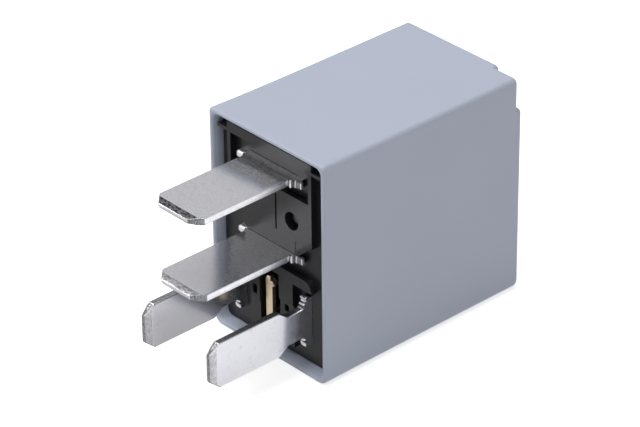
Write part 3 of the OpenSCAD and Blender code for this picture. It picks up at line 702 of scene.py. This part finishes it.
def make_floor():
    """White paper floor that keeps a soft shadow."""
    paper_m = bpy.data.materials.new("white_studio_floor")
    t = empty_tree(paper_m)
    path = add(t, "ShaderNodeLightPath")
    # A lit sweep is brightest towards the back right, and metal and gloss mirror that slope
    where = add(t, "ShaderNodeSeparateXYZ", None, Vector=add(t, "ShaderNodeTexCoord").outputs["Object"])
    along = add(t, "ShaderNodeMath", {"operation": "ADD"}, in0=where.outputs[0],
                in1=where.outputs[1]).outputs[0]
    mirrored = add(t, "ShaderNodeMath", {"operation": "MULTIPLY"}, in0=path.outputs["Is Glossy Ray"],
                   in1=spread(t, along, -24 * MM, 2 * MM, 0.0, FLOOR_MIRRORED)).outputs[0]
    glow = add(t, "ShaderNodeMath", {"operation": "MULTIPLY_ADD"}, in0=path.outputs["Is Camera Ray"],
               in1=FLOOR_GLOW, in2=mirrored)
    paper = add(t, "ShaderNodeBsdfDiffuse", None, Color=linear("#F2F2F2"))
    lit = add(t, "ShaderNodeEmission", None, Color=(1, 1, 1, 1), Strength=glow.outputs[0])
    both = add(t, "ShaderNodeAddShader", None, in0=paper.outputs[0], in1=lit.outputs[0])
    add(t, "ShaderNodeOutputMaterial", None, Surface=both.outputs[0])
    mesh = bpy.data.meshes.new("studio_floor")
    corners = np.array([(-1, -1, 0), (1, -1, 0), (1, 1, 0), (-1, 1, 0)]) * FLOOR_HALF
    mesh.from_pydata((corners + Z * (cad_low[2] - FLOOR_GAP)).tolist(), [], [(0, 1, 2, 3)])
    mesh.materials.append(paper_m)
    floor = bpy.data.objects.new("studio_floor", mesh)
    bpy.context.scene.collection.objects.link(floor)


def make_world():
    """Room that is white to the eye, pale to reflections and dim to dull surfaces."""
    world = bpy.data.worlds.new("studio_world")
    bpy.context.scene.world = world
    t = empty_tree(world)
    path = add(t, "ShaderNodeLightPath")
    mirrored = add(t, "ShaderNodeMath", {"operation": "MAXIMUM"}, in0=path.outputs["Is Glossy Ray"],
                   in1=path.outputs["Is Transmission Ray"])
    dim = spread(t, mirrored.outputs[0], 0, 1, WORLD_LIGHT, WORLD_MIRRORED)
    strength = add(t, "ShaderNodeMath", {"operation": "MAXIMUM"}, in0=dim,
                   in1=path.outputs["Is Camera Ray"])
    sky = add(t, "ShaderNodeBackground", None, Color=(1, 1, 1, 1), Strength=strength.outputs[0])
    add(t, "ShaderNodeOutputWorld", None, Surface=sky.outputs[0])


def area_lamp(name, place, size, power):
    """Square soft white lamp at a place counted from the middle of the object, aimed at it."""
    data = bpy.data.lights.new(name, "AREA")
    data.size, data.energy = size, power
    lamp = bpy.data.objects.new(name, data)
    aim = Vector(place)
    lamp.location = Vector(CENTRE) + aim
    lamp.rotation_mode = "QUATERNION"
    lamp.rotation_quaternion = (-aim).to_track_quat("-Z", "Y")
    bpy.context.scene.collection.objects.link(lamp)


make_floor()
make_world()
area_lamp("overhead_softbox", (-0.03, -0.06, 0.45), 0.35, 1.4)
area_lamp("front_left_softbox", (-0.26, -0.24, 0.21), 0.15, 0.32)
area_lamp("side_fill", (0.4, -0.02, 0.15), 0.25, 0.09)


CAMERA_TURN = (47.977, 30.879, -0.621)                 # azimuth, elevation and roll in degrees
CAMERA_AWAY, CAMERA_LENS, CAMERA_FILM = 323.33 * MM, 191.74, 36.0
CAMERA_AIM = np.array([0, 2.9, 12.0]) * MM             # point that the view turns about
CAMERA_SHIFT = (-2.45 * MM, -0.502 * MM)               # right and up, which frames the object


def make_camera():
    """Camera at the object's own viewing angle."""
    azimuth, elevation, roll = np.radians(CAMERA_TURN)
    level = np.array([np.sin(azimuth), -np.cos(azimuth), 0])
    back = level * np.cos(elevation) + Z * np.sin(elevation)
    right = np.array([np.cos(azimuth), np.sin(azimuth), 0])
    up = np.cross(back, right)
    tilted_right = right * np.cos(roll) + up * np.sin(roll)
    tilted_up = up * np.cos(roll) - right * np.sin(roll)
    aim = CAMERA_AIM + tilted_right * CAMERA_SHIFT[0] + tilted_up * CAMERA_SHIFT[1]
    data = bpy.data.cameras.new("product_camera")
    data.sensor_width, data.lens = CAMERA_FILM, CAMERA_LENS
    data.clip_start, data.clip_end = 0.01, 10
    cam = bpy.data.objects.new("product_camera", data)
    turned = Matrix(np.stack([tilted_right, tilted_up, back], 1).tolist()).to_4x4()
    cam.matrix_world = Matrix.Translation(Vector(aim + back * CAMERA_AWAY)) @ turned
    bpy.context.scene.collection.objects.link(cam)
    bpy.context.scene.camera = cam


make_camera()
bpy.context.scene.view_settings.view_transform = "Standard"
